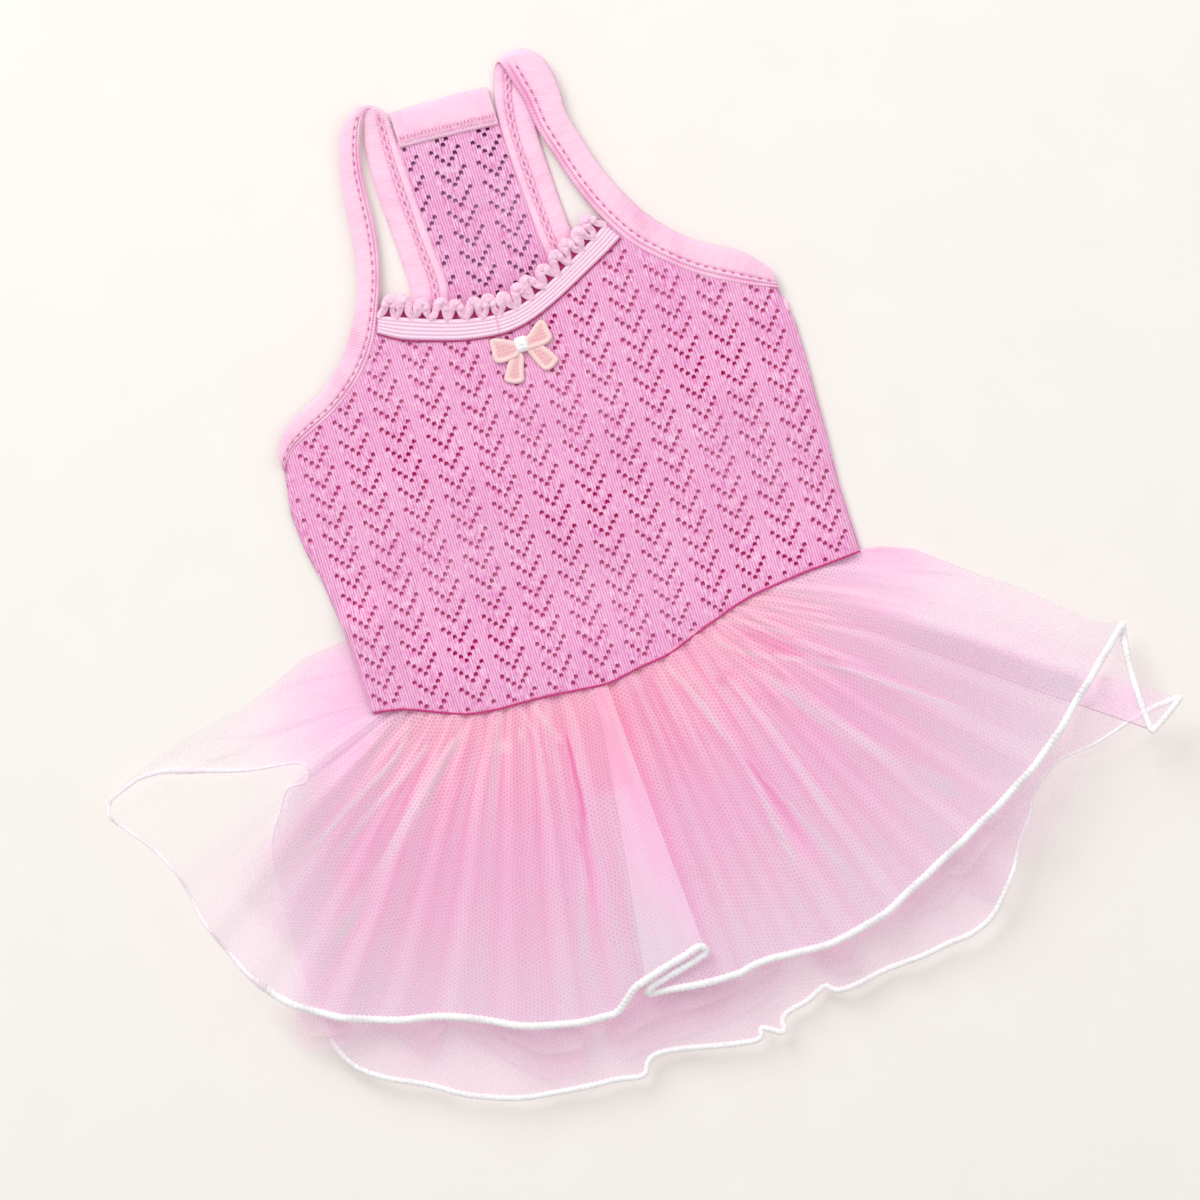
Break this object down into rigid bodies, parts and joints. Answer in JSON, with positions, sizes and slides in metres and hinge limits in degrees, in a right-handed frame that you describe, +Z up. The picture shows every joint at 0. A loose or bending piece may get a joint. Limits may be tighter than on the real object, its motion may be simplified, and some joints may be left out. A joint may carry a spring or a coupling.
{
  "type": "ballet tutu",
  "caption": "Small pink tutu dress laid flat: knit tank bodice, looped elastic neck, bow, and a gathered tulle skirt over a plain net.",
  "frame": {"origin": "centre of the laid-out garment's outline box, on the surface it lies on", "axes": "+X across the garment to the viewer's right, +Y towards the neck, +Z up off the surface, front of the garment up"},
  "size_m": [0.3471, 0.3458, 0.0193],
  "materials": {
    "bodice_knit": "orchid pink cotton pointelle knit, matt",
    "jersey_binding": "pink jersey, folded over the edge and coverstitched, matt",
    "picot_elastic": "pale pink knitted elastic with picot loops, soft sheen",
    "bow_thread": "peach pink rayon embroidery thread, sheen",
    "bow_satin": "white satin ribbon, sheen",
    "tulle": "sheer pink nylon tulle with a white overlocked hem",
    "plain_net": "sheer pink nylon net with a raw lower edge"
  },
  "bodies": {
    "root": {"back_bodice": "bodice_knit", "front_bodice": "bodice_knit", "left_strap": "jersey_binding", "right_strap": "jersey_binding", "back_neck_band": "jersey_binding", "neck_elastic": "picot_elastic", "bow": "bow_thread", "bow_knot": "bow_satin", "outer_tulle_tier": "tulle", "inner_net_tube": "plain_net"}
  },
  "joints": []
}
